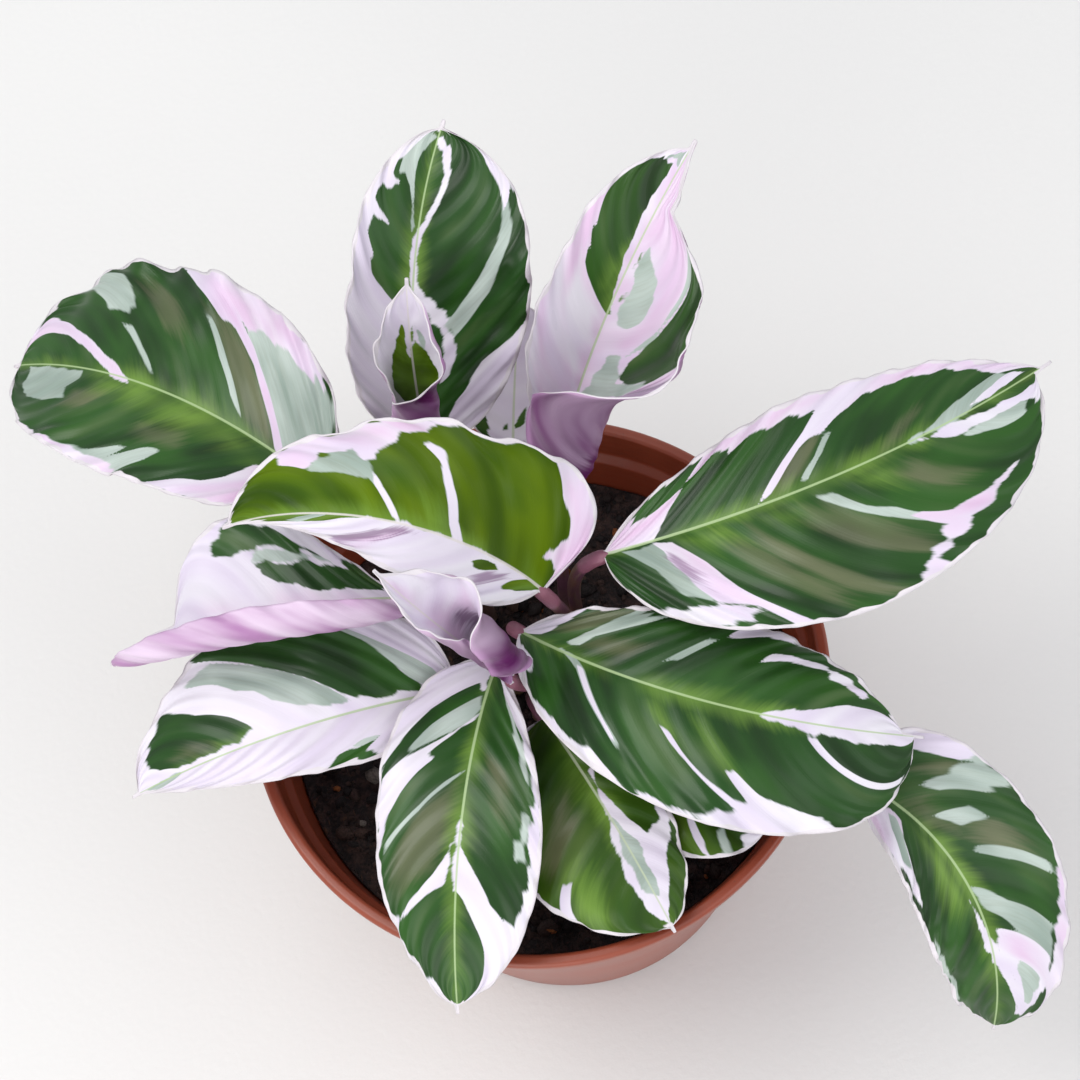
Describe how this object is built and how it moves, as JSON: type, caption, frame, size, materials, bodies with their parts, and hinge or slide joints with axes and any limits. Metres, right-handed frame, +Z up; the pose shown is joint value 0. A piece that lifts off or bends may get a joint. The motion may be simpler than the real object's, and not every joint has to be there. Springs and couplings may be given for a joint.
{
  "type": "potted calathea white fusion",
  "caption": "Potted foliage plant: broad variegated green, white and lilac leaves on thin purple stalks, rising from dark soil in a terracotta-coloured plastic nursery pot.",
  "frame": {"origin": "centre of the pot's flat underside, on the surface it stands on", "axes": "+Z up; +X to the plant's right seen from its front, along its widest spread; +Y to the back"},
  "size_m": [0.2075, 0.1824, 0.1702],
  "materials": {
    "pot_plastic": "satin",
    "potting_soil": "matte",
    "stalk": "satin",
    "leaf_blade": "satin"
  },
  "bodies": {
    "root": {"pot": "pot_plastic", "soil": "potting_soil", "stalk_left_rear": "stalk", "leaf_left_rear": "leaf_blade", "stalk_rear": "stalk", "leaf_rear": "leaf_blade", "stalk_rear_right": "stalk", "leaf_rear_right": "leaf_blade", "stalk_right": "stalk", "leaf_right": "leaf_blade", "stalk_front_curl": "stalk", "leaf_front_curl": "leaf_blade", "stalk_rolled": "stalk", "leaf_rolled": "leaf_blade", "stalk_left_rolled_edge": "stalk", "leaf_left_rolled_edge": "leaf_blade", "stalk_left": "stalk", "leaf_left": "leaf_blade", "stalk_front": "stalk", "leaf_front": "leaf_blade", "stalk_front_low": "stalk", "leaf_front_low": "leaf_blade", "stalk_front_right": "stalk", "leaf_front_right": "leaf_blade", "stalk_small_low": "stalk", "leaf_small_low": "leaf_blade", "stalk_right_drooping": "stalk", "leaf_right_drooping": "leaf_blade", "stalk_unrolling": "stalk", "leaf_unrolling": "leaf_blade", "stalk_small_rear": "stalk", "leaf_small_rear": "leaf_blade"}
  },
  "joints": []
}
